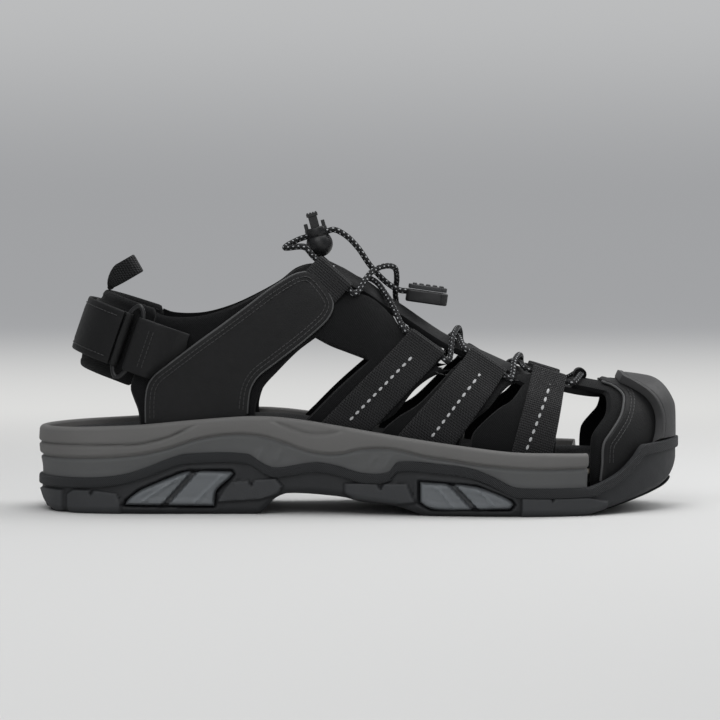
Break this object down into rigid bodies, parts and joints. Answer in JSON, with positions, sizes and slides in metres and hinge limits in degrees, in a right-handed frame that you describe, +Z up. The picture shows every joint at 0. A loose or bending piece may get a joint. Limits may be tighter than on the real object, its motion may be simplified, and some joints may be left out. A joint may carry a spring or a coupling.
{
  "type": "strappy sport sandal",
  "caption": "Right-foot closed-toe sport sandal: cupped rubber sole, webbing straps laced with a drawcord and cord lock, and a hook-and-loop heel strap.",
  "frame": {"origin": "centre of the footprint on the ground, under the sole's bounding box", "axes": "+X from heel to toe, +Y towards the inner (medial) side of the right foot, +Z up"},
  "size_m": [0.295, 0.1074, 0.1369],
  "materials": {
    "sole_rubber": "moulded rubber, fine matt texture",
    "insert_rubber": "light blue-grey rubber, satin",
    "midsole_foam": "moulded foam, matt",
    "board": "pressed fibre board",
    "footbed_foam": "foam with a brushed textile cover",
    "lining_fabric": "padded knit over foam",
    "upper_leather": "smooth matt synthetic leather",
    "webbing": "ribbed webbing with pale reflective dots",
    "lace_cord": "braided elastic cord with pale flecks",
    "hook_loop": "hook and loop tape",
    "black_plastic": "moulded, low sheen",
    "spring_steel": "drawn wire"
  },
  "bodies": {
    "root": {"outsole": "sole_rubber", "heel_insert_lateral": "insert_rubber", "forefoot_insert_lateral": "insert_rubber", "heel_insert_medial": "insert_rubber", "forefoot_insert_medial": "insert_rubber", "midsole": "midsole_foam", "strobel_board": "board", "footbed": "footbed_foam", "lining_lateral": "lining_fabric", "quarter_lateral": "upper_leather", "lining_medial": "lining_fabric", "quarter_medial": "upper_leather", "ankle_strap_lateral": "webbing", "ankle_strap_medial": "webbing", "instep_strap_lateral": "webbing", "instep_strap_medial": "webbing", "middle_strap_lateral": "webbing", "middle_strap_medial": "webbing", "toe_strap_lateral": "webbing", "toe_strap_medial": "webbing", "toe_lining": "lining_fabric", "vamp_panel": "upper_leather", "toe_cap": "sole_rubber", "tongue": "lining_fabric", "lace_anchor": "webbing", "lace_lateral": "lace_cord", "lace_medial": "lace_cord", "heel_collar": "lining_fabric", "heel_strap": "upper_leather", "loop_tape": "hook_loop", "ring": "black_plastic", "ring_tab": "upper_leather", "cord_end_shell": "black_plastic", "cord_end_cap": "black_plastic"},
    "cord_lock": {"cord_lock_body": "black_plastic", "cord_lock_spring": "spring_steel"},
    "cord_lock_button": {"cord_lock_button": "black_plastic"},
    "heel_flap": {"heel_strap_flap": "upper_leather", "hook_tape": "hook_loop"},
    "pull_loop": {"pull_loop": "webbing"}
  },
  "joints": [
    {"name": "cord_lock_slide", "type": "slide", "parent": "root", "child": "cord_lock", "axis": [0.9659, 0, 0.2588], "range_m": [0, 0.0025]},
    {"name": "cord_lock_press", "type": "slide", "parent": "cord_lock", "child": "cord_lock_button", "axis": [0.2588, 0, -0.9659], "range_m": [0, 0.003], "stiffness_N_per_m": 400, "springref_m": -0.001, "deforming": ["cord_lock_spring"]},
    {"name": "heel_strap_peel", "type": "hinge", "parent": "root", "child": "heel_flap", "pos_m": [-0.10988, -0.0306, 0.07934], "axis": [0.3256, 0, 0.9455], "range_deg": [0, 120]},
    {"name": "pull_loop_flop", "type": "hinge", "parent": "root", "child": "pull_loop", "pos_m": [-0.11505, -0.00084, 0.10175], "axis": [0, 1, 0], "range_deg": [-66, 0]}
  ]
}
